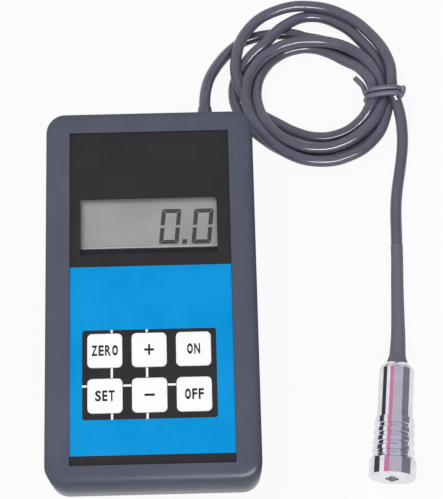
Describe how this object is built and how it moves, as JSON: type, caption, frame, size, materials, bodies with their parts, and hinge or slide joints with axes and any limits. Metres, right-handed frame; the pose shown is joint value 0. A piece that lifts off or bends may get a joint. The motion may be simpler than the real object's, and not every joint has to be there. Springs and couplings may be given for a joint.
{
  "type": "coating thickness gauge",
  "caption": "Hand-held coating thickness gauge: rounded two-part case with display, keypad and battery door, and a ribbed chrome probe on a cable tied in a coil.",
  "frame": {"origin": "middle of the case's back face, on which the gauge lies", "axes": "+X to the right of the display, +Y along the case towards the cable end, +Z out of the display face"},
  "size_m": [0.1253, 0.1769, 0.028],
  "materials": {
    "case_plastic": "fine-grained moulded plastic, dark blue-grey",
    "overlay_film": "printed film, black above and blue below",
    "clear_plastic": "clear window",
    "display_glass": "reflective grey display",
    "black_plastic": "black moulded plastic",
    "black_rubber": "dark rubber",
    "board_green": "green circuit board",
    "screw_steel": "plated steel",
    "key_white": "white keys with black legends",
    "battery_can": "plain painted can",
    "wire_red": "wire insulation",
    "ivory_plastic": "natural nylon",
    "cable_jacket": "satin grey cable jacket",
    "tie_plastic": "grey twist tie",
    "shrink_sleeve": "shrink sleeve",
    "probe_chrome": "polished chrome",
    "winding_copper": "enamelled copper wire",
    "core_iron": "dark soft iron"
  },
  "bodies": {
    "case": {"front_shell": "case_plastic", "rear_shell": "case_plastic", "case_screws": "screw_steel", "panel_overlay": "overlay_film", "display_window": "clear_plastic", "lcd_glass": "display_glass", "lcd_frame": "black_plastic", "contact_strips": "black_rubber", "main_board": "board_green", "board_screws": "screw_steel", "converter_chip": "black_plastic", "switch_bodies": "black_plastic", "battery": "battery_can", "battery_snap": "black_plastic", "battery_leads": "wire_red", "probe_header": "ivory_plastic", "probe_leads": "cable_jacket", "cable_grommet": "black_rubber", "cable_lead": "cable_jacket", "cable_coil": "cable_jacket", "cable_tie": "tie_plastic", "cable_tail": "cable_jacket", "cable_boot": "shrink_sleeve", "probe_cap": "probe_chrome", "probe_barrel": "probe_chrome", "probe_sleeve": "probe_chrome", "probe_bobbin": "ivory_plastic", "probe_winding": "winding_copper", "probe_spring": "screw_steel"},
    "zero": {"key_zero": "key_white", "plunger_zero": "black_plastic"},
    "plus": {"key_plus": "key_white", "plunger_plus": "black_plastic"},
    "on": {"key_on": "key_white", "plunger_on": "black_plastic"},
    "set": {"key_set": "key_white", "plunger_set": "black_plastic"},
    "minus": {"key_minus": "key_white", "plunger_minus": "black_plastic"},
    "off": {"key_off": "key_white", "plunger_off": "black_plastic"},
    "door": {"battery_door": "case_plastic"},
    "core": {"probe_core": "core_iron"}
  },
  "joints": [
    {"name": "zero_press", "type": "slide", "parent": "case", "child": "zero", "axis": [0, 0, -1], "range_m": [0, 0.0005], "stiffness_N_per_m": 400, "springref_m": -0.002},
    {"name": "plus_press", "type": "slide", "parent": "case", "child": "plus", "axis": [0, 0, -1], "range_m": [0, 0.0005], "stiffness_N_per_m": 400, "springref_m": -0.002},
    {"name": "on_press", "type": "slide", "parent": "case", "child": "on", "axis": [0, 0, -1], "range_m": [0, 0.0005], "stiffness_N_per_m": 400, "springref_m": -0.002},
    {"name": "set_press", "type": "slide", "parent": "case", "child": "set", "axis": [0, 0, -1], "range_m": [0, 0.0005], "stiffness_N_per_m": 400, "springref_m": -0.002},
    {"name": "minus_press", "type": "slide", "parent": "case", "child": "minus", "axis": [0, 0, -1], "range_m": [0, 0.0005], "stiffness_N_per_m": 400, "springref_m": -0.002},
    {"name": "off_press", "type": "slide", "parent": "case", "child": "off", "axis": [0, 0, -1], "range_m": [0, 0.0005], "stiffness_N_per_m": 400, "springref_m": -0.002},
    {"name": "door_slide", "type": "slide", "parent": "case", "child": "door", "axis": [0, -1, 0], "range_m": [0, 0.05]},
    {"name": "core_retract", "type": "slide", "parent": "case", "child": "core", "axis": [0.1009, 0.9931, -0.0602], "range_m": [0, 0.0008], "stiffness_N_per_m": 300, "springref_m": -0.004, "deforming": ["probe_spring"]}
  ]
}
